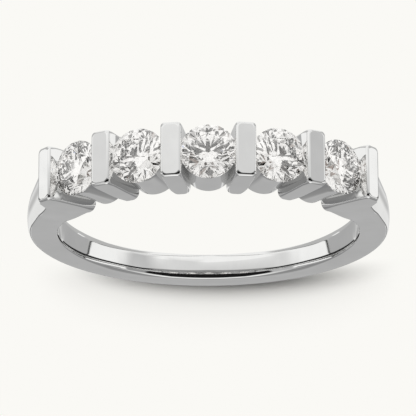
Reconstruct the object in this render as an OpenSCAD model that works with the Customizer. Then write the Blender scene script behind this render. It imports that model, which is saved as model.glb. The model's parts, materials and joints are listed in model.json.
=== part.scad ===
/* [Finger hole] */
// Radius of the finger hole, ring size 7
bore_r = 8.66; // [8.0:0.02:10.0]

/* [Bars] */
// Angle from one bar to the next
bar_pitch = 19.85; // [18.5:0.05:21.0]
// Distance from the hole's centre to the bars' outer faces
bar_top_r = 12.15; // [12.0:0.05:12.4]
// Thickness of the four middle bars
bar_t = 1.16; // [1.0:0.02:1.3]
// Thickness of the two end bars
end_bar_t = 1.02; // [0.9:0.02:1.2]
// How much thinner a bar is at the finger hole than at its outer face
bar_taper = 0.1; // [0:0.02:0.2]
// Length of a bar across the band, at its outer face
bar_len = 3.2; // [3.0:0.02:3.4]
// Length of a bar across the band, at the finger hole
bar_inner_len = 3.0; // [2.7:0.02:3.2]
// Rounding of a bar's long outer edges
bar_edge_r = 0.16; // [0.05:0.01:0.25]

/* [Stones] */
// Diameter of each stone at its girdle
stone_d = 3.14; // [3.0:0.02:3.2]
// Distance from the hole's centre to the middle of the girdle
girdle_r = 11.5; // [11.4:0.02:11.6]
// Width of the table as a part of the diameter
table_part = 0.57; // [0.52:0.01:0.64]
// Slope of the crown's main facets in degrees
crown_deg = 34.5; // [31:0.5:36]
// Slope of the pavilion's main facets in degrees
pavilion_deg = 40.8; // [40:0.2:42]
// Greatest thickness of the girdle
girdle_t = 0.1; // [0.08:0.01:0.14]
// Reach of the star facets from the table's edge to the girdle
star_part = 0.5; // [0.4:0.05:0.6]
// Reach of the lower girdle facets from the girdle to the point
lower_part = 0.78; // [0.7:0.02:0.85]
// Space between a stone and its seat
seat_gap = 0.02; // [0.01:0.01:0.04]

/* [Cups] */
// Outer radius of the cup under each stone
cup_r = 1.35; // [1.25:0.01:1.42]
// Radius of the hole through each cup
cup_hole_r = 0.92; // [0.7:0.01:1.0]

/* [Shank] */
// Radius of the shank's crown, its outermost line
crown_r = 10.43; // [10.2:0.01:10.6]
// Radius of the dome across the shank
dome_r = 3.4; // [2.5:0.1:6]
// Lean of the straight shoulders from the hole's centre line
shoulder_deg = 10.8; // [9:0.2:13]
// Width of the shank opposite the stones
back_w = 1.56; // [1.4:0.02:1.9]
// Width of the shank at its sides
side_w = 1.86; // [1.7:0.02:2.2]
// Width of the shank where it meets the end bars
shoulder_w = 3.12; // [2.9:0.02:3.2]

/* [Hidden] */
$fn = 96;

stones = 5;
bars = stones + 1;
stone_r = stone_d / 2;

// Heights in a stone are measured outwards from the middle of its girdle.
table_r = stone_r * table_part;
girdle_top = girdle_t / 2;
table_z = girdle_top + (stone_r - table_r) * tan(crown_deg);
point_z = -girdle_top - stone_r * tan(pavilion_deg);

// The facets repeat in eighths of a turn, and every half of one is cut
// into short steps along the round girdle.
eighth = 45;
half = eighth / 2;
steps = 4;

// A star facet's tip lies in the planes of the two kites beside it.
table_flat = table_r * cos(half);
star_r = table_flat + star_part * (stone_r - table_flat);
star_z = table_z - (star_r * cos(half) - table_r) * tan(crown_deg);
// So does the inner corner of the lower girdle facets with the mains.
lower_r = stone_r * (1 - lower_part);
lower_z = point_z + lower_r * cos(half) * tan(pavilion_deg);

// How far each stone is turned in its seat
turns = [9, -14, 3, 17, -6];

// A cut or an overlap goes this far past the face that it crosses.
past = 0.5;
// The end bar's outer side spreads out to a notch above the shoulder.
notch_side = 0.97;
notch_drop = 1.01;
notch_lip = 0.15;
// The cups stop this far under the middle of the girdle.
cup_drop = 0.2;

function polar(r, deg, z) = [r * cos(deg), r * sin(deg), z];

// Slope of the plane that holds a corner at (r, z), half a facet round
// from the main facet, and the girdle's rim on either side of the
// girdle facet, which is half / 2 away from its middle line.
function girdle_slope(r, z, rim_z) =
    (rim_z - z) / (stone_r * cos(half / 2) - r * cos(half / 2));

// Height of a girdle facet's plane on the round girdle, off degrees
// from the facet's middle line
function rim_height(r, z, rim_z, off) =
    rim_z + girdle_slope(r, z, rim_z) * stone_r * (cos(off) - cos(half / 2));

// One stone: its corners ring by ring, then its facets
module cut_stone() {
    rim_n = 16 * steps;
    off = [for (i = [0:rim_n - 1]) abs((i % steps) * half / steps - half / 2)];
    table_ring = [for (k = [0:7]) polar(table_r, k * eighth, table_z)];
    star_ring = [for (k = [0:7]) polar(star_r, k * eighth + half, star_z)];
    top_rim = [for (i = [0:rim_n - 1])
        polar(stone_r, i * half / steps, rim_height(star_r, star_z, girdle_top, off[i]))];
    low_rim = [for (i = [0:rim_n - 1])
        polar(stone_r, i * half / steps, rim_height(lower_r, lower_z, -girdle_top, off[i]))];
    lower_ring = [for (k = [0:7]) polar(lower_r, k * eighth + half, lower_z)];
    corners = concat(table_ring, star_ring, top_rim, low_rim, lower_ring, [[0, 0, point_z]]);

    star_0 = 8;
    top_0 = 16;
    low_0 = top_0 + rim_n;
    lower_0 = low_0 + rim_n;
    point = lower_0 + 8;
    rim_step = 2 * steps;

    table = [[for (k = [7:-1:0]) k]];
    stars = [for (k = [0:7]) [k, (k + 1) % 8, star_0 + k]];
    kites = [for (k = [0:7])
        [k, star_0 + k, top_0 + k * rim_step, star_0 + (k + 7) % 8]];
    upper = [for (k = [0:7], h = [0:1])
        concat([star_0 + k], [for (i = [steps:-1:0]) top_0 + (k * rim_step + h * steps + i) % rim_n])];
    rim = [for (i = [0:rim_n - 1])
        [top_0 + i, top_0 + (i + 1) % rim_n, low_0 + (i + 1) % rim_n, low_0 + i]];
    lower = [for (k = [0:7], h = [0:1])
        concat([lower_0 + k], [for (i = [0:steps]) low_0 + (k * rim_step + h * steps + i) % rim_n])];
    mains = [for (k = [0:7])
        [point, lower_0 + (k + 7) % 8, low_0 + k * rim_step, lower_0 + k]];
    polyhedron(corners, concat(table, stars, kites, upper, rim, lower, mains), convexity = 4);
}

// The round space that a stone needs, with the seat's gap all round
module seat_cut() {
    rotate_extrude()
        polygon([
            [0, point_z - 2 * seat_gap],
            [lower_r + seat_gap, lower_z - 2 * seat_gap],
            [stone_r + seat_gap, -girdle_top - seat_gap],
            [stone_r + seat_gap, girdle_top + seat_gap],
            [star_r + seat_gap, star_z + 2 * seat_gap],
            [0, table_z + past]
        ]);
}

// Turns what is drawn about +Z outwards at deg round from the middle
// of the stones, with its zero r from the hole's centre.
module outwards(deg, r) {
    rotate([0, 0, deg]) translate([0, -r, 0]) rotate([90, 0, 0]) children();
}

// Outline of one bar seen along the hole, with its outer end at -Y. Its
// inner end reaches into the finger hole, which cuts it back.
module bar_outline(t) {
    edge_y = -(bar_top_r - bar_edge_r);
    inner_y = -(bore_r - past);
    inner_t = t - bar_taper * (edge_y - inner_y) / (edge_y + bore_r);
    polygon([
        [-inner_t / 2, inner_y], [-t / 2, edge_y],
        [-t / 2 + bar_edge_r, -bar_top_r], [t / 2 - bar_edge_r, -bar_top_r],
        [t / 2, edge_y], [inner_t / 2, inner_y]
    ]);
    for (side = [-1, 1]) translate([side * (t / 2 - bar_edge_r), edge_y]) circle(bar_edge_r);
}

// One bar: its outline cut to the length that narrows inwards
module bar(t) {
    slope = (bar_len - bar_inner_len) / 2 / (bar_top_r - bore_r);
    out_y = bar_top_r + past;
    in_y = bore_r - past;
    out_z = bar_len / 2 + slope * past;
    in_z = bar_inner_len / 2 - slope * past;
    intersection() {
        linear_extrude(bar_len + 1, center = true) bar_outline(t);
        rotate([90, 0, 90]) linear_extrude(2 * t, center = true)
            polygon([[-out_y, -out_z], [-out_y, out_z], [-in_y, in_z], [-in_y, -in_z]]);
    }
}

module all_bars() {
    for (i = [0:bars - 1])
        rotate([0, 0, (i - (bars - 1) / 2) * bar_pitch])
            bar(i == 0 || i == bars - 1 ? end_bar_t : bar_t);
}

function stone_deg(i) = (i - (stones + 1) / 2) * bar_pitch;

// The cups, long enough to be cut back by the finger hole
module all_cups() {
    for (i = [1:stones])
        outwards(stone_deg(i), bore_r - past)
            cylinder(h = girdle_r - cup_drop - bore_r + past, r = cup_r);
}

// Section of the shank: radius across, width of the band up
module shank_section() {
    wide = shoulder_w;
    intersection() {
        translate([bore_r - past, -wide / 2]) square([crown_r - bore_r + 2 * past, wide]);
        translate([crown_r - dome_r, 0]) circle(dome_r);
    }
}

// The end bar's outer side, from its lip down to the notch
module notch_wedge() {
    deg = (bars - 1) / 2 * bar_pitch;
    rotate([0, 0, deg]) linear_extrude(shoulder_w, center = true)
        polygon([
            [0, -(bar_top_r - notch_lip)],
            [end_bar_t / 2, -(bar_top_r - notch_lip)],
            [notch_side, -(bar_top_r - notch_drop)],
            [notch_side, past - bore_r],
            [0, past - bore_r]
        ]);
}

// One straight shoulder, which runs on into the end bar
module shoulder() {
    run = 6;
    difference() {
        union() {
            rotate([0, 0, -shoulder_deg]) rotate([90, 0, 0])
                linear_extrude(run) shank_section();
            notch_wedge();
        }
        sector = (bars - 1) / 2 * bar_pitch;
        far = 2 * bar_top_r;
        linear_extrude(2 * bar_len, center = true)
            polygon([[0, 0], [0, -far], [far * sin(sector), -far * cos(sector)]]);
        translate([-far, -far, -bar_len]) cube([far, 2 * far, 2 * bar_len]);
    }
}

// The band's width seen from the side, from the stones to the back
module width_outline() {
    front_y = -(bar_top_r + past);
    meet_y = -7.2;
    side_y = 0.5;
    back_y = crown_r + past;
    half_w = [
        [front_y, shoulder_w / 2], [meet_y, shoulder_w / 2],
        [side_y, side_w / 2], [back_y, back_w / 2]
    ];
    rotate([90, 0, 90]) linear_extrude(2 * bar_top_r, center = true)
        polygon(concat(half_w, [for (i = [3:-1:0]) [half_w[i][0], -half_w[i][1]]]));
}

module shank() {
    intersection() {
        union() {
            rotate([0, 0, -shoulder_deg])
                rotate_extrude(angle = 180 + 2 * shoulder_deg) shank_section();
            shoulder();
            mirror([1, 0, 0]) shoulder();
        }
        width_outline();
    }
}

module band() {
    color([0.86, 0.86, 0.85]) difference() {
        union() {
            shank();
            all_bars();
            all_cups();
        }
        cylinder(h = 3 * bar_len, r = bore_r, center = true);
        for (i = [1:stones]) {
            outwards(stone_deg(i), girdle_r) seat_cut();
            outwards(stone_deg(i), 0) cylinder(h = girdle_r, r = cup_hole_r);
        }
    }
}

module stone(i) {
    color([0.95, 0.97, 1.0]) outwards(stone_deg(i), girdle_r)
        rotate([0, 0, turns[i - 1]]) cut_stone();
}

band();
stone(1);  // stone_1
stone(2);  // stone_2
stone(3);  // stone_3
stone(4);  // stone_4
stone(5);  // stone_5
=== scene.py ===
"""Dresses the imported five-stone band: polished white gold and cut diamonds.

The ring lies on its side on a pale floor. The finger hole runs along Z, the
stones face -Y, and all sizes are in metres unless a name says millimetres.
"""

import json
import logging
import math
from collections.abc import Sequence
from dataclasses import dataclass
from enum import Enum

import bmesh
import bpy
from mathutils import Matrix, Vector

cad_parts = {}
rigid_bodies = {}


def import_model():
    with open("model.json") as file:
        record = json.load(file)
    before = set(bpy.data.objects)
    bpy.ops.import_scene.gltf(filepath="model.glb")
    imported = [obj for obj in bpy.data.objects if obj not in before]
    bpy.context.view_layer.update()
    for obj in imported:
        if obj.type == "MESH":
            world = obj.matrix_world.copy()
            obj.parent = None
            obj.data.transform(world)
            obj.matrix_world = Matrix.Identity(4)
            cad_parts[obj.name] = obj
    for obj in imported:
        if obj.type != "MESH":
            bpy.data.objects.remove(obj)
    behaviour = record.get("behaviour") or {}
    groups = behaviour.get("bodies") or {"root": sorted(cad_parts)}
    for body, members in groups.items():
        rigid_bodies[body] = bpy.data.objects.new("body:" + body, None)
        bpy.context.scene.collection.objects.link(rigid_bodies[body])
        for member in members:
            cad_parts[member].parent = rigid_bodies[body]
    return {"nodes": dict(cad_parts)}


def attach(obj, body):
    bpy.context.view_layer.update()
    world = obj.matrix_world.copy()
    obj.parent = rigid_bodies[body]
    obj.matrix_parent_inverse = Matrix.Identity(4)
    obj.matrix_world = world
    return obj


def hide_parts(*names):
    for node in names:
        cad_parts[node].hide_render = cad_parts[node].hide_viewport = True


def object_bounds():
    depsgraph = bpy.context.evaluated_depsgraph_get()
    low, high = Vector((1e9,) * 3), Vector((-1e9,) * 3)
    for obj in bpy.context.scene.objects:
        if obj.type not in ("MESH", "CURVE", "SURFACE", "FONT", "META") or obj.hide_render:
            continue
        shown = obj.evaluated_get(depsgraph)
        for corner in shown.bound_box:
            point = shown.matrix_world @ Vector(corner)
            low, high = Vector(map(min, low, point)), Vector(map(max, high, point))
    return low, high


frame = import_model()
CAD_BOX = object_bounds()

MM = 0.001
SAME_PLACE = 1e-9
LOG = logging.getLogger("band")

Point = tuple[float, float, float]
Ring = list[Point]
Spot = tuple[float, float]
Colour = tuple[float, float, float]
Socket = bpy.types.NodeSocket
BLACK: Colour = (0.0, 0.0, 0.0)


class Slot(Enum):
    """Material slots of the record."""

    WHITE_GOLD = "white_gold"
    DIAMOND = "diamond"


class RayKind(Enum):
    """Kinds of rays that see the studio differently, as the Light Path node names them."""

    CAMERA = "Is Camera Ray"
    DIFFUSE = "Is Diffuse Ray"
    THROUGH_STONES = "Transmission Depth"


def smoothstep(low: float, high: float, value: float) -> float:
    """Eases from 0 at low to 1 at high.

    Args:
        low: Value where the result leaves 0.
        high: Value where the result reaches 1.
        value: Value to ease.

    Returns:
        A number from 0 to 1.
    """
    part = min(1.0, max(0.0, (value - low) / (high - low)))
    return part * part * (3.0 - 2.0 * part)


def mix(a: float, b: float, part: float) -> float:
    """Returns the value that lies the given part of the way from a to b."""
    return a + (b - a) * part


def direction(turn_deg: float, rise_deg: float) -> Vector:
    """Returns the direction at a turn from -Y towards +X and a rise above the horizon."""
    turn, rise = math.radians(turn_deg), math.radians(rise_deg)
    return Vector((math.sin(turn) * math.cos(rise), -math.cos(turn) * math.cos(rise), math.sin(rise)))


class Loft:
    """Closed skin over rings of points that all have the same count."""

    def __init__(self, name: str, rings: Sequence[Ring], joined: bool = False) -> None:
        """Keeps the rings.

        Args:
            name: Name of the mesh.
            rings: Rings of points in millimetres, in order.
            joined: Whether the last ring runs on into the first.
        """
        self.name = name
        self.rings = rings
        self.joined = joined

    def mesh(self, sharp_deg: float = 32.0) -> bpy.types.Mesh:
        """Builds the skin.

        Args:
            sharp_deg: Edges that bend more than this stay sharp.

        Returns:
            A closed mesh in metres whose faces point outwards.
        """
        work = bmesh.new()
        grid = [[work.verts.new([c * MM for c in p]) for p in ring] for ring in self.rings]
        count, around = len(grid), len(grid[0])
        for i in range(count if self.joined else count - 1):
            here, there = grid[i], grid[(i + 1) % count]
            for k in range(around):
                after = (k + 1) % around
                work.faces.new((here[k], here[after], there[after], there[k]))
        if not self.joined:
            work.faces.new(grid[0])
            work.faces.new(grid[-1])
        bmesh.ops.remove_doubles(work, verts=work.verts, dist=SAME_PLACE)
        bmesh.ops.recalc_face_normals(work, faces=work.faces)
        made = bpy.data.meshes.new(self.name)
        work.to_mesh(made)
        work.free()
        made.polygons.foreach_set("use_smooth", [True] * len(made.polygons))
        made.set_sharp_from_angle(angle=math.radians(sharp_deg))
        return made


class Piece:
    """One visible piece of the ring, with its object and its slot."""

    def __init__(self, name: str, mesh: bpy.types.Mesh, slot: Slot) -> None:
        """Links an object for the mesh.

        Args:
            name: Name of the piece.
            mesh: Its mesh, with its place in its vertices.
            slot: The record's slot that its finish belongs to.
        """
        self.slot = slot
        self.obj = bpy.data.objects.new(name, mesh)
        bpy.context.scene.collection.objects.link(self.obj)

    def settle_normals(self) -> None:
        """Lets the large flat faces keep their own normals."""
        weigh = self.obj.modifiers.new("Flat faces", "WEIGHTED_NORMAL")
        weigh.mode = "FACE_AREA"
        weigh.weight = 90
        weigh.keep_sharp = True
        self.bake()

    def bake(self) -> None:
        """Replaces the mesh by what the modifiers make of it."""
        graph = bpy.context.evaluated_depsgraph_get()
        plain = bpy.data.meshes.new_from_object(self.obj.evaluated_get(graph))
        self.obj.modifiers.clear()
        self.obj.data = plain

    def dress(self, material: bpy.types.Material, *nodes: str) -> None:
        """Gives the piece its material and its place in the frame.

        Args:
            material: The finish.
            nodes: CAD nodes that it stands for.
        """
        self.obj.data.materials.clear()
        self.obj.data.materials.append(material)
        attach(self.obj, "root")
        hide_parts(*nodes)


@dataclass(frozen=True)
class HeadPlan:
    """Where the bars and stones stand round the finger hole, in millimetres and degrees."""

    bore_r: float = 8.66
    pitch_deg: float = 19.85
    top_r: float = 12.15
    half_len: float = 1.6
    inner_half_len: float = 1.5
    girdle_r: float = 11.5
    stones: int = 5

    @property
    def end_deg(self) -> float:
        """Angle of the end bars from the middle of the head."""
        return self.stones * self.pitch_deg / 2

    def half_len_at(self, height: float) -> float:
        """Half the length of a bar at a distance from the hole's centre."""
        slope = (self.half_len - self.inner_half_len) / (self.top_r - self.bore_r)
        return self.half_len - slope * (self.top_r - height)


class NodeDesk:
    """Short ways to add and join nodes in one tree."""

    def __init__(self, tree: bpy.types.NodeTree) -> None:
        """Works on the given tree."""
        self.tree = tree

    def put(self, socket: Socket, value: object) -> None:
        """Joins a socket to an input, or sets the input to a plain value."""
        if isinstance(value, bpy.types.NodeSocket):
            self.tree.links.new(value, socket)
        elif value is not None:
            socket.default_value = value

    def node(self, kind: str, settings: dict[str, object] | None = None,
             **inputs: object) -> bpy.types.Node:
        """Adds a node.

        Args:
            kind: Blender's name of its type.
            settings: Its own settings.
            inputs: Values or sockets for its inputs, with _ for a space.

        Returns:
            The node.
        """
        made = self.tree.nodes.new(kind)
        for name, value in (settings or {}).items():
            setattr(made, name, value)
        for name, value in inputs.items():
            self.put(made.inputs[name.replace("_", " ")], value)
        return made

    def math(self, operation: str, *values: object) -> Socket:
        """Adds a Math node and returns its result."""
        made = self.node("ShaderNodeMath", {"operation": operation})
        for socket, value in zip(made.inputs, values):
            self.put(socket, value)
        return made.outputs[0]

    def blend(self, part: object, a: object, b: object) -> Socket:
        """Mixes two colours and returns the result."""
        made = self.node("ShaderNodeMix", {"data_type": "RGBA"})
        self.put(made.inputs["Factor"], part)
        for name, value in (("A", a), ("B", b)):
            socket = next(s for s in made.inputs if s.name == name and s.type == "RGBA")
            self.put(socket, (*value, 1.0) if isinstance(value, tuple) else value)
        return next(s for s in made.outputs if s.type == "RGBA")

    def ease(self, value: object, low: float, high: float, out_low: float = 0.0,
             out_high: float = 1.0) -> Socket:
        """Adds a Map Range node that eases from one level to another."""
        made = self.node("ShaderNodeMapRange", {"interpolation_type": "SMOOTHSTEP"},
                         Value=value, From_Min=low, From_Max=high, To_Min=out_low, To_Max=out_high)
        return made.outputs["Result"]


class RowTree:
    """Geometry Nodes that stand copies of one mesh side by side round the finger hole."""

    COUNT, PITCH, FIRST, FINISH = "Count", "Pitch", "First angle", "Finish"

    def __init__(self) -> None:
        """Builds the tree."""
        tree = bpy.data.node_groups.new("Row round the finger hole", "GeometryNodeTree")
        self.tree = tree
        self.ids: dict[str, str] = {}
        new = tree.interface.new_socket
        for name, kind in (("Geometry", "Geometry"), (self.COUNT, "Int"), (self.PITCH, "Float"),
                           (self.FIRST, "Float"), (self.FINISH, "Material")):
            self.ids[name] = new(name, in_out="INPUT", socket_type=f"NodeSocket{kind}").identifier
        new("Geometry", in_out="OUTPUT", socket_type="NodeSocketGeometry")

        desk = NodeDesk(tree)
        given = desk.node("NodeGroupInput").outputs
        points = desk.node("GeometryNodeMeshLine", Count=given[self.COUNT], Offset=(0.0, 0.0, 0.0))
        index = desk.node("GeometryNodeInputIndex").outputs[0]
        turn = desk.math("MULTIPLY_ADD", index, given[self.PITCH], given[self.FIRST])
        about = desk.node("ShaderNodeCombineXYZ", Z=turn)
        copies = desk.node("GeometryNodeInstanceOnPoints", Points=points.outputs[0],
                           Instance=given["Geometry"], Rotation=about.outputs[0])
        real = desk.node("GeometryNodeRealizeInstances", Geometry=copies.outputs[0])
        coat = desk.node("GeometryNodeSetMaterial", Geometry=real.outputs[0],
                         Material=given[self.FINISH])
        desk.node("NodeGroupOutput", Geometry=coat.outputs[0])

    def stand(self, piece: Piece, count: int, pitch_deg: float, finish: bpy.types.Material) -> None:
        """Turns the piece's one mesh into a row that is centred on -Y.

        Args:
            piece: Piece whose mesh is drawn at -Y.
            count: How many copies stand in the row.
            pitch_deg: Angle between neighbours.
            finish: Material of the row.
        """
        row = piece.obj.modifiers.new("Row", "NODES")
        row.node_group = self.tree
        row[self.ids[self.COUNT]] = count
        row[self.ids[self.PITCH]] = math.radians(pitch_deg)
        row[self.ids[self.FIRST]] = math.radians(-pitch_deg * (count - 1) / 2)
        row[self.ids[self.FINISH]] = finish
        piece.bake()


class BarKind(Enum):
    """A middle bar has stones on both sides, an end bar runs out into the shoulder."""

    MIDDLE = "middle"
    END = "end"


@dataclass
class Bars:
    """The six bars that hold the stones, in millimetres."""

    plan: HeadPlan
    # Thickness, and how much less of it there is at the finger hole
    middle_t: float = 1.16
    end_t: float = 1.02
    narrowing: float = 0.1
    # Rounding at the finger hole, and the depth over which its corners grow small
    comfort_r: float = 0.12
    inner_side_r: float = 0.1
    inner_corner_r: float = 0.42
    corner_fade: float = 1.3
    # Rounding of the outer faces, whose corners are worn from a height on
    edge_r: float = 0.16
    end_edge_r: float = 0.17
    corner_r: float = 0.12
    top_corner_r: float = 0.24
    worn_from: float = 11.5
    # An end bar is free of the shoulder up to one depth and flush with it from another
    flush_corner_r: float = 0.012
    free_depth: float = 0.35
    full_depth: float = 0.9
    # The notch above the shoulder
    notch_side: float = 0.97
    notch_drop: float = 1.01
    notch_lip: float = 0.15
    notch_edge: float = 0.02
    lip_margin: float = 0.05
    # Levels follow the finger hole's wall at first and are flat from this depth
    level_depth: float = 1.0
    # Rings inside the inner face, and how much of it the corners may take
    face_parts: tuple[float, ...] = (0.92, 0.6, 0.3)
    corner_share: float = 0.97
    least_corner_r: float = 0.01
    corner_steps: int = 6
    arc_steps: int = 12
    body_steps: int = 14
    worn_steps: int = 5

    def layer(self, height: float, low: float, high: float, corner_low: float,
              corner_high: float, end_inset: float, rounded: float = 0.0) -> Ring:
        """One level of a bar: a rectangle with round corners.

        Args:
            height: Distance from the hole's centre.
            low: Edge of the rectangle towards the middle of the head.
            high: Its other edge.
            corner_low: Radius of the corners at low.
            corner_high: Radius of the corners at high.
            end_inset: How far the ends stand back from the bar's full length.
            rounded: 1 where the level follows the finger hole's wall, 0 where it is flat.

        Returns:
            The ring of points, with the outside of the ring at -Y.
        """
        half = self.plan.half_len_at(height) - end_inset
        ring: Ring = []
        for side_r, edge, z_sign, start in (
            (corner_high, high, 1, 0), (corner_low, low, 1, 90),
            (corner_low, low, -1, 180), (corner_high, high, -1, 270),
        ):
            inwards = -1 if edge == high else 1
            for k in range(self.corner_steps + 1):
                a = math.radians(start + 90 * k / self.corner_steps)
                x = edge + inwards * side_r + side_r * math.cos(a)
                sag = height - math.sqrt(height**2 - x * x)
                ring.append((x, rounded * sag - height, z_sign * (half - side_r) + side_r * math.sin(a)))
        return ring

    def outer_side(self, kind: BarKind, height: float, half_t: float) -> float:
        """How far a bar reaches away from the middle of the head at a height."""
        if kind is BarKind.MIDDLE:
            return half_t
        lip, notch = self.plan.top_r - self.notch_lip, self.plan.top_r - self.notch_drop
        part = min(1.0, max(0.0, (lip - height) / (lip - notch)))
        return mix(half_t, self.notch_side, part)

    def inner_end(self, kind: BarKind, inner: float) -> list[Ring]:
        """Levels of the inner end, from the middle of its face to the end of its comfort edge.

        Args:
            kind: Kind of bar.
            inner: Half the bar's thickness at the finger hole.

        Returns:
            The rings.
        """
        bore, steps = self.plan.bore_r, self.arc_steps
        half = inner - self.inner_side_r
        rings: list[Ring] = []
        for part in self.face_parts:
            inset = part * half
            corner = min(self.inner_corner_r, self.corner_share * half) - inset
            corner = max(self.least_corner_r, corner)
            rings.append(self.layer(bore, inset - half, half - inset, corner, corner,
                                    self.comfort_r + inset, 1.0))
        for k in range(steps + 1):
            depth = self.comfort_r * (1 - math.cos(math.radians(90 * k / steps)))
            side = inner - self.rounded_off(depth, self.inner_side_r)
            corner = min(self.corner_at(depth), self.corner_share * side)
            high = self.spread(kind, depth, side, bore + depth)
            outer = corner if kind is BarKind.MIDDLE else self.end_corner(depth, corner)
            rings.append(self.layer(bore + depth, -side, high, corner, outer,
                                    self.rounded_off(depth, self.comfort_r), 1.0))
        return rings

    def corner_at(self, depth: float) -> float:
        """Radius of a bar's upright edges, which is largest at the finger hole."""
        faded = smoothstep(0.0, 1.0, depth / self.corner_fade)
        return mix(self.inner_corner_r, self.corner_r, math.sqrt(faded))

    def spread(self, kind: BarKind, depth: float, half_t: float, height: float) -> float:
        """How far a bar reaches away from the middle of the head, free of the shank at its tip."""
        if kind is BarKind.MIDDLE:
            return half_t
        return mix(half_t, self.outer_side(kind, height, half_t),
                   smoothstep(self.free_depth, self.full_depth, depth))

    def end_corner(self, depth: float, corner: float) -> float:
        """Corner radius on the side where an end bar runs on into the shoulder."""
        return mix(corner, self.flush_corner_r, smoothstep(self.free_depth, self.full_depth, depth))

    def levels(self, kind: BarKind) -> list[Ring]:
        """Levels of one bar, from the finger hole outwards."""
        full = (self.middle_t if kind is BarKind.MIDDLE else self.end_t) / 2
        inner = full - self.narrowing / 2
        start, top = self.plan.bore_r + self.comfort_r, self.plan.top_r
        rings = self.inner_end(kind, inner)
        heights = [mix(start, self.worn_from, k / self.body_steps) for k in range(1, self.body_steps + 1)]
        heights += [mix(self.worn_from, top - self.edge_r, k / self.worn_steps)
                    for k in range(1, self.worn_steps + 1)]
        if kind is BarKind.END:
            heights += [top - self.notch_drop, top - self.notch_drop - self.notch_edge]
            heights.sort()
        steps = self.arc_steps
        heights += [top - self.edge_r * (1 - math.sin(math.radians(90 * k / steps)))
                    for k in range(1, steps + 1)]
        for height in heights:
            depth = height - self.plan.bore_r
            half = mix(inner, full, min(1.0, depth / (top - self.edge_r - self.plan.bore_r)))
            worn = mix(self.corner_at(depth), self.top_corner_r, smoothstep(self.worn_from, top, height))
            side = self.rounded_off(top - height, self.edge_r)
            end = self.rounded_off(top - height, self.end_edge_r)
            level = 1.0 - smoothstep(self.comfort_r, self.level_depth, depth)
            if kind is BarKind.MIDDLE:
                rings.append(self.layer(height, side - half, half - side, worn, worn, end, level))
                continue
            high = self.spread(kind, depth, half, height) - side
            over_notch = height > top - self.notch_lip - self.lip_margin
            corner = worn if over_notch else self.end_corner(depth, worn)
            rings.append(self.layer(height, side - half, high, worn, corner, end, level))
        return rings

    @staticmethod
    def rounded_off(depth: float, radius: float) -> float:
        """How far a rounded edge stands back at a depth under the outer face."""
        if depth >= radius:
            return 0.0
        return radius - math.sqrt(max(0.0, radius**2 - (radius - depth) ** 2))

    def build(self, tree: RowTree, finish: bpy.types.Material) -> list[Piece]:
        """Makes the row of middle bars and the two end bars.

        Args:
            tree: Tree that stands a bar in its row.
            finish: The bars' metal.

        Returns:
            The two pieces.
        """
        middle = Piece("middle_bars", Loft("bar", self.levels(BarKind.MIDDLE)).mesh(), Slot.WHITE_GOLD)
        tree.stand(middle, self.plan.stones - 1, self.plan.pitch_deg, finish)
        angle = math.radians(self.plan.end_deg)
        rings = self.levels(BarKind.END)
        sides = bmesh.new()
        for sign in (-1, 1):
            turned = [[(sign * (x * math.cos(angle) - y * math.sin(angle)),
                        x * math.sin(angle) + y * math.cos(angle), z) for x, y, z in ring]
                      for ring in rings]
            one = Loft("end_bar", turned).mesh()
            sides.from_mesh(one)
            bpy.data.meshes.remove(one)
        both = bpy.data.meshes.new("end_bars")
        sides.to_mesh(both)
        sides.free()
        ends = Piece("end_bars", both, Slot.WHITE_GOLD)
        for piece in (middle, ends):
            piece.settle_normals()
            piece.dress(finish, "band")
        return [middle, ends]


@dataclass
class Cups:
    """The round cup under each stone, cut back by the finger hole, in millimetres."""

    plan: HeadPlan
    outer_r: float = 1.35
    hole_r: float = 0.92
    foot_r: float = 0.06
    foot_steps: int = 6
    rim_under_girdle: float = 0.26
    seat_under_girdle: float = 0.64
    # Steps of the rim's edge: in from the outer radius, then up from the rim
    rim_edge: tuple[Spot, ...] = ((0.0, -0.5), (0.0, -0.03), (0.01, 0.0), (0.035, 0.005))
    # Steps of the seat's edge: out from the hole's radius, then up from the seat
    seat_edge: tuple[Spot, ...] = ((0.03, 0.02), (0.0, -0.03))
    around: int = 128
    sharp_deg: float = 40.0

    def build(self, tree: RowTree, finish: bpy.types.Material) -> Piece:
        """Makes the row of cups.

        Args:
            tree: Tree that stands a cup in its row.
            finish: The cups' metal.

        Returns:
            The piece.
        """
        rim = self.plan.girdle_r - self.rim_under_girdle
        seat = self.plan.girdle_r - self.seat_under_girdle
        foot = self.foot_r
        # Radius, then the height above the finger hole's wall, or the height
        # from the hole's centre where the third value is true.
        profile = [(self.hole_r + foot, 0.0, False), (mix(self.hole_r, self.outer_r, 0.5), 0.0, False)]
        for k in range(self.foot_steps + 1):
            a = math.radians(90 * k / self.foot_steps)
            profile.append((self.outer_r - foot + foot * math.sin(a), foot - foot * math.cos(a), False))
        profile += [(self.outer_r - inwards, rim + up, True) for inwards, up in self.rim_edge]
        profile += [(self.hole_r + outwards, seat + up, True) for outwards, up in self.seat_edge]
        profile.append((self.hole_r, foot, False))
        rings: list[Ring] = []
        for radius, height, absolute in profile:
            ring: Ring = []
            for k in range(self.around):
                a = 2 * math.pi * k / self.around
                u, z = radius * math.cos(a), radius * math.sin(a)
                wall = math.sqrt(self.plan.bore_r**2 - u * u)
                ring.append((u, -(height if absolute else wall + height), z))
            rings.append(ring)
        piece = Piece("cups", Loft("cup", rings, joined=True).mesh(self.sharp_deg), Slot.WHITE_GOLD)
        tree.stand(piece, self.plan.stones, self.plan.pitch_deg, finish)
        piece.settle_normals()
        piece.dress(finish, "band")
        return piece


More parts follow.
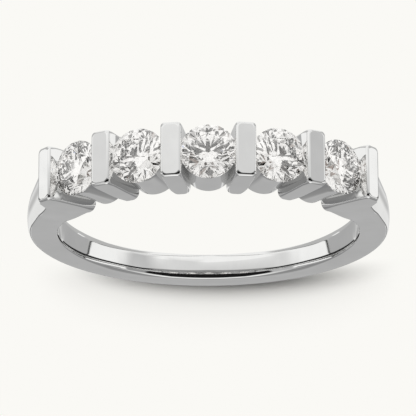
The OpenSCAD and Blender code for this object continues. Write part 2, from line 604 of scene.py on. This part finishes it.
@dataclass(frozen=True)
class SoftEdge:
    """A quarter of an ellipse between a bevel and a side face, in millimetres and radians."""

    wide: float
    deep: float
    leave: float
    arrive: float

    @property
    def reach(self) -> float:
        """How far the edge reaches in from the side face."""
        return self.wide * (math.cos(self.arrive) - math.cos(self.leave))

    def spots(self, steps: int) -> list[Spot]:
        """Height above its start and distance in from its end, for each point."""
        turns = [mix(self.leave, self.arrive, k / steps) for k in range(1, steps + 1)]
        return [(self.deep * (math.sin(self.leave) - math.sin(a)),
                 self.wide * (math.cos(self.arrive) - math.cos(a))) for a in turns]


@dataclass
class Shank:
    """The half-round shank with its straight shoulders, in millimetres and degrees."""

    plan: HeadPlan
    crown_r: float = 10.43
    dome_r: float = 3.4
    shoulder_deg: float = 10.8
    outer_edge_r: float = 0.24
    inner_edge_r: float = 0.1
    wall_crown_r: float = 22.0
    chamfer_deg: float = 6.0
    chamfer_part: float = 0.5
    bevel_deg: tuple[float, float] = (10.5, 17.5)
    crease: float = 0.02
    side_bow: float = 0.045
    bow_fade_deg: tuple[float, float] = (60.0, 112.0)
    outer_edge_at: float = 1.17
    # Half the width at places along Y, from the head to the back
    half_widths: tuple[Spot, ...] = (
        (-12.65, 1.56), (-7.2, 1.56), (0.5, 0.93), (10.93, 0.78))
    smoothing: float = 1.4
    taps: int = 9
    # Near an end bar the shank is as wide as the bar, less a hair
    flush: float = 0.003
    level_near_bar: tuple[float, float] = (0.9, 3.2)
    # Width of the bevel at angles from the middle of the back
    bevel_widths: tuple[Spot, ...] = (
        (0.0, 0.45), (15.0, 0.39), (27.0, 0.28), (36.0, 0.27), (49.0, 0.27),
        (60.0, 0.26), (75.0, 0.22), (95.0, 0.2), (180.0, 0.16))
    # Width and depth of the softened edge, and how much of it there is at such angles
    soft_edge: tuple[float, float] = (0.16, 0.46)
    soft_edge_parts: tuple[Spot, ...] = (
        (0.0, 0.0), (15.0, 0.0), (27.0, 0.8), (34.0, 1.0), (42.0, 1.0), (49.0, 0.45),
        (58.0, 0.0), (180.0, 0.0))
    end_overlap_deg: float = 0.6
    stations: int = 300
    face_steps: int = 8
    edge_steps: int = 10
    dome_steps: int = 12

    @staticmethod
    def along(spots: Sequence[Spot], place: float) -> float:
        """Returns the value at a place on straight lines through the spots."""
        for (p0, v0), (p1, v1) in zip(spots, spots[1:]):
            if place <= p1:
                return mix(v0, v1, max(0.0, (place - p0) / (p1 - p0)))
        return spots[-1][1]

    def half_width(self, x: float, y: float) -> float:
        """Half the width, smoothed along the shank and level with the end bars near them."""
        offsets = [self.smoothing * (2 * k / (self.taps - 1) - 1) for k in range(self.taps)]
        plain = sum(self.along(self.half_widths, y + d) for d in offsets) / self.taps
        angle = math.radians(self.plan.end_deg)
        height = abs(x) * math.sin(angle) - y * math.cos(angle)
        away = abs(x) * math.cos(angle) + y * math.sin(angle)
        level = self.plan.half_len_at(height) - self.flush
        return mix(level, plain, smoothstep(*self.level_near_bar, away))

    def bow(self, back_deg: float) -> float:
        """How far the side faces bulge, at an angle from the middle of the back."""
        return self.side_bow * (1.0 - smoothstep(*self.bow_fade_deg, back_deg))

    def edge(self, back_deg: float, tilt: float) -> SoftEdge:
        """The edge beside the finger hole, at an angle from the middle of the back."""
        softness = self.along(self.soft_edge_parts, back_deg)
        wide, deep = (mix(self.inner_edge_r, size, softness) for size in self.soft_edge)
        slope = math.radians(self.bevel_deg[1])
        return SoftEdge(wide, deep, math.atan2(deep, wide * math.tan(slope)),
                        math.atan2(deep * math.tan(tilt), wide))

    def bevel(self, crown: float, width: float) -> list[Spot]:
        """The crease at the end of the finger hole's wall, and the bevel that grows steeper after it.

        Args:
            crown: Radius at the end of the wall.
            width: Width of the bevel.

        Returns:
            The radius and the distance in from the bevel's outer end, for each point.
        """
        chamfer, steps = width * self.chamfer_part, self.face_steps
        gentle = math.tan(math.radians(self.chamfer_deg))
        spots = [(crown + gentle * (reach - self.crease / 2), width - reach)
                 for reach in (self.crease, chamfer / 2, chamfer)]
        rise = spots[-1][0]
        for k in range(1, steps + 1):
            grade = math.tan(math.radians(mix(*self.bevel_deg, (k - 0.5) / steps)))
            rise += grade * (width - chamfer) / steps
            spots.append((rise, (width - chamfer) * (1 - k / steps)))
        return spots

    def side(self, start: float, end: float, bow: float, tilt: float) -> list[Spot]:
        """The bulging side face and the rounded outer edge.

        Args:
            start: Radius where the side face starts.
            end: Radius where it ends.
            bow: How far it bulges.
            tilt: Its tilt where it ends, in radians.

        Returns:
            The radius and the distance in from the full half width, for each point.
        """
        steps, outer = self.face_steps, self.outer_edge_r
        spots = [(mix(start, end, k / steps), bow * (2 * k / steps - 1) ** 2) for k in range(1, steps + 1)]
        for k in range(1, steps + 1):
            a = mix(tilt, math.pi / 2, k / steps)
            spots.append((end + outer * (math.sin(a) - math.sin(tilt)),
                          bow + outer * (math.cos(tilt) - math.cos(a))))
        return spots

    def station(self, deg: float) -> Ring:
        """Section of the shank at an angle from +Y.

        Args:
            deg: The angle, positive towards +X.

        Returns:
            The ring of points round the section.
        """
        out_x, out_y = math.sin(math.radians(deg)), math.cos(math.radians(deg))
        stretch = 1 / math.cos(math.radians(max(0.0, abs(deg) - 90.0 - self.shoulder_deg)))

        def half_width_at(rho: float) -> float:
            """Half the width at a radius."""
            return self.half_width(rho * out_x, rho * out_y)

        def dome(z: float) -> float:
            """Radius of the outer face at z."""
            return (self.crown_r - self.dome_r + math.sqrt(self.dome_r**2 - z * z)) * stretch

        bore, bow, outer = self.plan.bore_r, self.bow(abs(deg)), self.outer_edge_r
        end = dome(half_width_at(bore * stretch * self.outer_edge_at) - outer - bow) - outer
        tilt = math.atan(4 * bow / (end - bore))
        edge = self.edge(abs(deg), tilt)
        width = self.along(self.bevel_widths, abs(deg))
        turn_in = edge.reach + bow
        flat = half_width_at(bore) - turn_in - width

        # Radius and z on the wall of the finger hole, which is a little crowned
        levels = [flat * k / self.face_steps for k in range(1, self.face_steps + 1)]
        spots = [(bore + z * z / (2 * self.wall_crown_r), z) for z in levels]
        # Radius and distance in from the half width, up to the outer edge
        inset = [(rho, turn_in + inwards) for rho, inwards in self.bevel(spots[-1][0], width)]
        rise = inset[-1][0]
        inset += [(rise + up, bow + inwards) for up, inwards in edge.spots(self.edge_steps)]
        inset += self.side(inset[-1][0], end, bow, tilt)
        spots += [(rho, half_width_at(rho) - inwards) for rho, inwards in inset]
        # Radius and z on the outer dome, then the same on the other side
        top = spots[-1][1]
        levels = [top * (1 - k / self.dome_steps) for k in range(1, self.dome_steps + 1)]
        spots += [(dome(z), z) for z in levels]
        spots += [(rho, -z) for rho, z in reversed(spots[:-1])]
        spots.append((bore, 0.0))
        return [(rho * out_x, rho * out_y, z) for rho, z in spots]

    def build(self, finish: bpy.types.Material) -> Piece:
        """Makes the shank, whose ends lie inside the end bars.

        Args:
            finish: The shank's metal.

        Returns:
            The piece.
        """
        reach = 180.0 - self.plan.end_deg - self.end_overlap_deg
        rings = [self.station(mix(-reach, reach, k / self.stations)) for k in range(self.stations + 1)]
        piece = Piece("shank", Loft("shank", rings).mesh(), Slot.WHITE_GOLD)
        piece.settle_normals()
        piece.dress(finish, "band")
        return piece


class MaterialDesk(NodeDesk):
    """Desk for a new material, which also sets its Principled shader."""

    def __init__(self, name: str) -> None:
        """Makes the material."""
        self.material = bpy.data.materials.new(name)
        self.material.use_nodes = True
        super().__init__(self.material.node_tree)

    def shade(self, **inputs: object) -> None:
        """Sets the shader's inputs to values or sockets, with _ for a space."""
        shader = self.tree.nodes["Principled BSDF"].inputs
        for name, value in inputs.items():
            self.put(shader[name.replace("_", " ")], value)


class PolishGroup:
    """Shader group with the traces of polishing that metal and stones share."""

    # How far the lines are drawn out along Z, and their share of the wear
    LINE_STRETCH, LINE_SHARE = 0.12, 0.35
    # Noise levels between which the clouds fade, and how high they stand
    CLOUD_FADE, CLOUD_HEIGHT = (0.3, 0.7), 0.4

    def __init__(self) -> None:
        """Builds the group: cloudy wiping marks and fine lines from the wheel."""
        tree = bpy.data.node_groups.new("Polish traces", "ShaderNodeTree")
        self.tree = tree
        for way, kind, names in (
            ("INPUT", "Float", ("Cloud scale", "Line scale", "Low roughness", "High roughness")),
            ("INPUT", "Color", ("Light colour", "Dark colour")),
            ("OUTPUT", "Color", ("Colour",)), ("OUTPUT", "Float", ("Roughness", "Height")),
        ):
            for name in names:
                tree.interface.new_socket(name, in_out=way, socket_type=f"NodeSocket{kind}")
        desk = NodeDesk(tree)
        given = desk.node("NodeGroupInput").outputs
        place = desk.node("ShaderNodeTexCoord").outputs["Object"]
        cloud = desk.node("ShaderNodeTexNoise", Vector=place, Scale=given["Cloud scale"],
                          Detail=3.0, Roughness=0.55).outputs["Fac"]
        stretch = (1.0, 1.0, self.LINE_STRETCH)
        drawn = desk.node("ShaderNodeMapping", Vector=place, Scale=stretch).outputs[0]
        lines = desk.node("ShaderNodeTexNoise", Vector=drawn, Scale=given["Line scale"],
                          Detail=2.0, Roughness=0.6).outputs["Fac"]
        soft = desk.ease(cloud, *self.CLOUD_FADE)
        worn = desk.math("MULTIPLY_ADD", lines, self.LINE_SHARE,
                         desk.math("MULTIPLY", soft, 1.0 - self.LINE_SHARE))
        rough = desk.node("ShaderNodeMapRange", Value=worn, To_Min=given["Low roughness"],
                          To_Max=given["High roughness"]).outputs["Result"]
        clouds = desk.math("MULTIPLY", soft, self.CLOUD_HEIGHT)
        desk.node("NodeGroupOutput", Roughness=rough, Height=desk.math("ADD", lines, clouds),
                  Colour=desk.blend(worn, given["Light colour"], given["Dark colour"]))


@dataclass(frozen=True)
class Finish:
    """A polished surface: its two colours, its roughness and the fineness of its traces."""

    light: Colour
    dark: Colour
    low_roughness: float
    high_roughness: float
    cloud_scale: float
    line_scale: float

    def material(self, name: str, traces: PolishGroup) -> bpy.types.Material:
        """Builds the material.

        Args:
            name: Name of the material.
            traces: Group with the traces of polishing.

        Returns:
            The material.
        """
        desk = MaterialDesk(name)
        marks = desk.node("ShaderNodeGroup", {"node_tree": traces.tree})
        for socket, value in (
            ("Light colour", (*self.light, 1.0)), ("Dark colour", (*self.dark, 1.0)),
            ("Low roughness", self.low_roughness), ("High roughness", self.high_roughness),
            ("Cloud scale", self.cloud_scale), ("Line scale", self.line_scale),
        ):
            desk.put(marks.inputs[socket], value)
        desk.shade(Base_Color=marks.outputs["Colour"], Roughness=marks.outputs["Roughness"])
        self.complete(desk, marks.outputs["Height"])
        return desk.material

    def complete(self, desk: MaterialDesk, height: Socket) -> None:
        """Sets what the kind of surface asks for, given the height of the traces."""


@dataclass(frozen=True)
class WhiteGold(Finish):
    """Bright rhodium-white gold from the polishing wheel."""

    light: Colour = (0.86, 0.86, 0.855)
    dark: Colour = (0.8, 0.8, 0.795)
    low_roughness: float = 0.03
    high_roughness: float = 0.075
    cloud_scale: float = 700.0
    line_scale: float = 12000.0
    bump: float = 0.03
    bump_depth: float = 1e-5

    def complete(self, desk: MaterialDesk, height: Socket) -> None:
        """Makes the surface metal, with its traces as a faint relief."""
        bump = desk.node("ShaderNodeBump", Strength=self.bump, Distance=self.bump_depth, Height=height)
        desk.shade(Metallic=1.0, Normal=bump.outputs["Normal"])


@dataclass(frozen=True)
class CutDiamond(Finish):
    """Near-colourless diamond with a faint warm body colour."""

    light: Colour = (1.0, 1.0, 1.0)
    dark: Colour = (0.985, 0.975, 0.965)
    low_roughness: float = 0.0
    high_roughness: float = 0.004
    cloud_scale: float = 900.0
    line_scale: float = 16000.0
    ior: float = 2.417

    def complete(self, desk: MaterialDesk, height: Socket) -> None:
        """Makes the surface clear, and leaves its traces flat."""
        desk.shade(Transmission_Weight=1.0, IOR=self.ior)


@dataclass
class Stones:
    """The five cut stones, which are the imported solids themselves."""

    plan: HeadPlan

    def dress(self, finish: bpy.types.Material) -> list[str]:
        """Gives each stone its diamond.

        Args:
            finish: The stones' material.

        Returns:
            The names of the stones.
        """
        names = [f"stone_{k}" for k in range(1, self.plan.stones + 1)]
        for name in names:
            stone = frame["nodes"][name]
            stone.data.materials.clear()
            stone.data.materials.append(finish)
        return names


@dataclass(frozen=True)
class Card:
    """One soft card of the studio, as a patch of directions in degrees.

    Turn is measured round the ring from -Y towards +X, and rise is the height
    above the horizon. Its lean is how much it rises with each degree of turn,
    and its corner is the radius of its corners.
    """

    turn: float
    rise: float
    half_turn: float
    half_rise: float
    soft: float
    colour: Colour
    both_sides: bool = False
    lean: float = 0.0
    corner: float = 0.0


# What the metal mirrors, the lowest card first
METAL_CARDS: tuple[Card, ...] = (
    # Grey wall behind, dark above, with dark corners beside it
    Card(180.0, 50.0, 66.0, 20.0, 5.0, (0.3, 0.3, 0.3)),
    Card(180.0, 10.0, 62.0, 22.0, 8.0, (0.48, 0.48, 0.48)),
    Card(128.0, 36.0, 20.0, 26.0, 8.0, (0.26, 0.26, 0.265), True),
    # Light from above, brightest overhead
    Card(0.0, 90.0, 180.0, 24.0, 8.0, (1.15, 1.15, 1.14)),
    # The floor, dim behind the ring, where its own shade lies
    Card(0.0, -60.0, 180.0, 44.0, 2.0, (1.0, 1.0, 0.99)),
    Card(180.0, -22.0, 12.0, 7.0, 3.0, (0.5, 0.5, 0.5)),
    # The grey sides of the room
    Card(112.0, -32.5, 54.0, 22.0, 6.0, (0.54, 0.54, 0.535), True),
    Card(132.0, -8.0, 24.0, 14.0, 1.5, (0.46, 0.46, 0.46), True),
    # The white table with its round corners and its dark outline
    Card(0.0, -31.2, 110.8, 23.4, 0.8, (0.05, 0.05, 0.05), True, 0.3, 12.0),
    Card(0.0, -31.2, 108.0, 22.0, 0.8, (1.03, 1.03, 1.02), True, 0.3, 10.0),
    Card(121.0, -23.2, 5.0, 1.7, 0.6, (1.03, 1.03, 1.02), True),
    # What stands behind the table's far edge
    Card(96.0, 26.5, 24.5, 18.6, 0.8, (0.07, 0.07, 0.07), True),
    Card(96.0, 26.5, 24.0, 17.4, 0.8, (0.4, 0.4, 0.4), True),
    Card(-53.0, 6.0, 13.0, 19.0, 1.5, (0.33, 0.33, 0.33)),
    Card(51.0, 6.0, 17.0, 19.0, 1.5, (0.52, 0.52, 0.52)),
    # The far part of the table, which is dimmer
    Card(0.0, -14.8, 74.0, 3.5, 4.5, (0.9, 0.9, 0.895)),
    Card(0.0, -14.8, 64.0, 3.5, 4.5, (0.81, 0.81, 0.805)),
    Card(0.0, -14.8, 54.0, 3.5, 4.5, (0.7, 0.7, 0.695)),
    Card(-56.0, -22.0, 10.0, 8.0, 8.0, (0.57, 0.57, 0.57)),
    Card(60.0, -21.0, 6.0, 8.0, 6.0, (0.79, 0.79, 0.785)),
    Card(-20.0, -21.0, 12.0, 8.0, 7.0, (0.78, 0.78, 0.775)),
    # The dark skirting of the room
    Card(0.0, -6.9, 150.0, 3.2, 0.8, (0.03, 0.03, 0.03), True, -0.04),
    # Bright floor at both sides behind, over the ring's shade, and its dark edge
    Card(160.0, -11.5, 11.0, 6.0, 1.5, (0.86, 0.86, 0.85), True),
    Card(161.5, -4.5, 18.5, 3.2, 1.0, (0.16, 0.16, 0.16), True),
    Card(164.0, 1.6, 9.0, 1.6, 0.8, (0.8, 0.8, 0.8), True),
    # The camera and the dark room round it, over the dim end of the table
    Card(0.0, -9.0, 44.0, 5.0, 3.0, (0.28, 0.28, 0.28)),
    Card(0.0, 14.0, 50.0, 19.0, 1.5, (0.012, 0.012, 0.012), False, 0.0, 18.0),
)
# What is seen through the stones
GEM_CARDS: tuple[Card, ...] = (
    # Light from above
    Card(0.0, 90.0, 180.0, 36.0, 10.0, (1.08, 1.07, 1.05)),
    # Warm dark walls on either side and a small blue window
    Card(-66.0, 24.0, 22.0, 18.0, 2.0, (0.22, 0.17, 0.145)),
    Card(108.0, 26.0, 22.0, 20.0, 2.0, (0.34, 0.27, 0.235)),
    Card(40.0, 50.0, 2.5, 2.5, 1.0, (0.3, 0.42, 0.8)),
    # The dark room round the camera, with a lighter gap on either side
    Card(0.0, 20.0, 26.0, 22.0, 4.0, (0.02, 0.018, 0.016)),
    Card(9.5, 5.5, 3.4, 3.4, 0.8, (0.5, 0.48, 0.46), True),
)


@dataclass(frozen=True)
class LowLight:
    """A soft light low in front, in degrees, with its share of the floor's light."""

    name: str
    turn: float
    rise: float
    angle: float
    share: float


@dataclass
class Studio:
    """Pale floor and soft light."""

    floor_z: float
    floor_half: float = 4.0
    backdrop: Colour = (0.956, 0.947, 0.913)
    # The front of the floor glows by itself, painted light that keeps the ring's shadows off it. Between
    # two places along Y, in millimetres, its glow fades to the least one, a faint painted glow that keeps
    # the shadow behind from going black, and the low lights take over
    glow_fade: tuple[float, float] = (12.0, 17.5)
    least_glow: float = 0.06
    lights: tuple[LowLight, ...] = (
        LowLight("higher_front_light", 7.0, 15.5, 8.0, 0.7),
        LowLight("lower_front_light", 2.0, 12.0, 11.0, 0.3),
    )
    metal_base: Colour = (0.72, 0.72, 0.715)
    metal_cards: tuple[Card, ...] = METAL_CARDS
    gem_base: Colour = (1.02, 1.01, 0.99)
    gem_cards: tuple[Card, ...] = GEM_CARDS

    def floor(self) -> bpy.types.Object:
        """Adds and returns the floor, which glows by itself up to the ring's back: painted light where the
        ring's shadow would fall.
        """
        mesh = bpy.data.meshes.new("floor")
        corners = [(x * self.floor_half, y * self.floor_half, self.floor_z)
                   for x, y in ((-1, -1), (1, -1), (1, 1), (-1, 1))]
        mesh.from_pydata(corners, [], [(0, 1, 2, 3)])
        obj = bpy.data.objects.new("floor", mesh)
        bpy.context.scene.collection.objects.link(obj)
        desk = MaterialDesk("pale_floor")
        place = desk.node("ShaderNodeTexCoord").outputs["Object"]
        back = desk.node("ShaderNodeSeparateXYZ", Vector=place).outputs["Y"]
        near, far = (edge * MM for edge in self.glow_fade)
        # Painted glow: in front the floor lights itself and takes no lamp light, so no shadow falls there;
        # behind, a faint painted glow lifts the shadow
        painted_glow = desk.ease(back, near, far, 1.0, 0.0)
        lit, dim = (tuple(c * part for c in self.backdrop)
                    for part in (1.0 - self.least_glow, self.least_glow))
        desk.shade(Base_Color=desk.blend(painted_glow, lit, BLACK), Roughness=1.0, Specular_IOR_Level=0.0,
                   Emission_Color=desk.blend(painted_glow, dim, self.backdrop), Emission_Strength=1.0)
        desk.material.cycles.emission_sampling = "NONE"
        obj.data.materials.append(desk.material)
        obj.visible_glossy = False
        obj.visible_transmission = False
        return obj

    def sky(self) -> None:
        """Builds the tent of soft cards round the ring."""
        world = bpy.data.worlds.new("studio")
        bpy.context.scene.world = world
        world.use_nodes = True
        world.cycles.sampling_method = "NONE"
        tree = world.node_tree
        tree.nodes.clear()
        desk = NodeDesk(tree)
        way = desk.node("ShaderNodeTexCoord").outputs["Generated"]
        axes = desk.node("ShaderNodeSeparateXYZ", Vector=way).outputs
        turn = desk.math("DEGREES", desk.math("ARCTAN2", axes["X"], desk.math("MULTIPLY", axes["Y"], -1.0)))
        rise = desk.math("DEGREES", desk.math("ARCSINE", axes["Z"]))
        metal = self.hang(desk, turn, rise, self.metal_base, self.metal_cards)
        gem = self.hang(desk, turn, rise, self.gem_base, self.gem_cards)
        path = desk.node("ShaderNodeLightPath").outputs
        through = desk.math("GREATER_THAN", path[RayKind.THROUGH_STONES.value], 0.5)
        light = desk.blend(through, metal, gem)
        light = desk.blend(path[RayKind.DIFFUSE.value], light, BLACK)
        light = desk.blend(path[RayKind.CAMERA.value], light, self.backdrop)
        back = desk.node("ShaderNodeBackground", Color=light)
        desk.node("ShaderNodeOutputWorld", Surface=back.outputs[0])

    @staticmethod
    def hang(desk: NodeDesk, turn: Socket, rise: Socket, base: Colour, cards: Sequence[Card]) -> Socket:
        """Lays the cards over the base light, the first one lowest.

        Args:
            desk: Desk of the world's tree.
            turn: Direction round the ring in degrees.
            rise: Height of the direction in degrees.
            base: Light where no card hangs.
            cards: The cards.

        Returns:
            The light as a colour.
        """
        light: object = base
        mirrored = desk.math("ABSOLUTE", turn)
        for card in cards:
            seen = mirrored if card.both_sides else turn
            aside = desk.math("WRAP", desk.math("SUBTRACT", seen, card.turn), 180.0, -180.0)
            off_turn = desk.math("ABSOLUTE", aside)
            middle: object = card.rise
            if card.lean:
                middle = desk.math("MULTIPLY_ADD", seen, card.lean, card.rise - card.lean * card.turn)
            off_rise = desk.math("ABSOLUTE", desk.math("SUBTRACT", rise, middle))
            over_turn = desk.math("SUBTRACT", off_turn, card.half_turn)
            over_rise = desk.math("SUBTRACT", off_rise, card.half_rise)
            over = desk.math("MAXIMUM", over_turn, over_rise)
            if card.corner:
                wide = desk.math("MAXIMUM", desk.math("ADD", over_turn, card.corner), 0.0)
                high = desk.math("MAXIMUM", desk.math("ADD", over_rise, card.corner), 0.0)
                squares = desk.math("ADD", desk.math("POWER", wide, 2.0), desk.math("POWER", high, 2.0))
                over = desk.math("SUBTRACT", desk.math("SQRT", squares), card.corner)
            light = desk.blend(desk.ease(over, card.soft, -card.soft), light, card.colour)
        return light

    def shine(self, floor: bpy.types.Object, blockers: Sequence[bpy.types.Object]) -> None:
        """Adds the low front lights, whose soft shadows fall behind the shank.

        Args:
            floor: The floor, which alone takes this light.
            blockers: What casts its shadow.
        """
        groups: dict[str, bpy.types.Collection] = {}
        for role, members in (("receiver_collection", [floor]), ("blocker_collection", blockers)):
            groups[role] = bpy.data.collections.new(f"front_light_{role}")
            for member in members:
                groups[role].objects.link(member)
        for plan in self.lights:
            lamp = bpy.data.lights.new(plan.name, "SUN")
            lamp.energy = plan.share * math.pi / math.sin(math.radians(plan.rise))
            lamp.angle = math.radians(plan.angle)
            obj = bpy.data.objects.new(plan.name, lamp)
            obj.rotation_mode = "QUATERNION"
            obj.rotation_quaternion = direction(plan.turn, plan.rise).to_track_quat("Z", "Y")
            bpy.context.scene.collection.objects.link(obj)
            for role, group in groups.items():
                setattr(obj.light_linking, role, group)


@dataclass
class PhotoCamera:
    """The photograph's view: from in front and above, with the ring's head at the top."""

    distance: float = 0.247832
    rise_deg: float = 18.937
    turn_deg: float = 0.057
    roll_deg: float = -0.271
    focal_px: float = 4296.59
    centre_px: tuple[float, float] = (208.471, 218.889)
    frame_px: float = 416.0
    sensor_mm: float = 36.0
    clip: tuple[float, float] = (0.01, 100.0)

    def build(self) -> None:
        """Makes the scene's camera."""
        towards = direction(self.turn_deg, self.rise_deg)
        forward = -towards
        turn = math.radians(self.turn_deg)
        right = Vector((-math.cos(turn), -math.sin(turn), 0.0))
        up = right.cross(forward)
        roll = math.radians(self.roll_deg)
        side = right * math.cos(roll) + up * math.sin(roll)
        top = up * math.cos(roll) - right * math.sin(roll)
        middle = self.frame_px / 2
        aim = (forward * self.focal_px + side * (middle - self.centre_px[0])
               + top * (self.centre_px[1] - middle)).normalized()
        side = (side - aim * side.dot(aim)).normalized()
        top = side.cross(aim)
        data = bpy.data.cameras.new("photo_camera")
        data.sensor_width = self.sensor_mm
        data.lens = self.focal_px * self.sensor_mm / self.frame_px
        data.clip_start, data.clip_end = self.clip
        obj = bpy.data.objects.new("photo_camera", data)
        rotation = obj.matrix_world.to_3x3()
        for row in range(3):
            rotation[row] = (side[row], top[row], -aim[row])
        obj.matrix_world = rotation.to_4x4()
        obj.location = towards * self.distance
        bpy.context.scene.collection.objects.link(obj)
        bpy.context.scene.camera = obj


def main() -> None:
    """Builds the ring's pieces, the studio and the camera."""
    logging.basicConfig(level=logging.INFO, format="%(name)s: %(message)s")
    plan = HeadPlan()
    traces = PolishGroup()
    gold = WhiteGold().material("polished_white_gold", traces)
    diamond = CutDiamond().material("cut_diamond", traces)
    row = RowTree()
    pieces = [Shank(plan).build(gold), *Bars(plan).build(row, gold), Cups(plan).build(row, gold)]
    for piece in pieces:
        LOG.info("%s: %d faces", piece.obj.name, len(piece.obj.data.polygons))
    for name in Stones(plan).dress(diamond):
        LOG.info("%s: cut diamond", name)

    studio = Studio(floor_z=CAD_BOX[0].z)
    floor = studio.floor()
    studio.sky()
    studio.shine(floor, [pieces[0].obj])
    PhotoCamera().build()
    scene = bpy.context.scene
    scene.view_settings.view_transform = "Standard"
    scene.cycles.max_bounces = 36
    scene.cycles.transmission_bounces = 32
    scene.cycles.glossy_bounces = 12
    scene.cycles.caustics_reflective = False
    scene.cycles.caustics_refractive = False


if __name__ == "__main__":
    main()
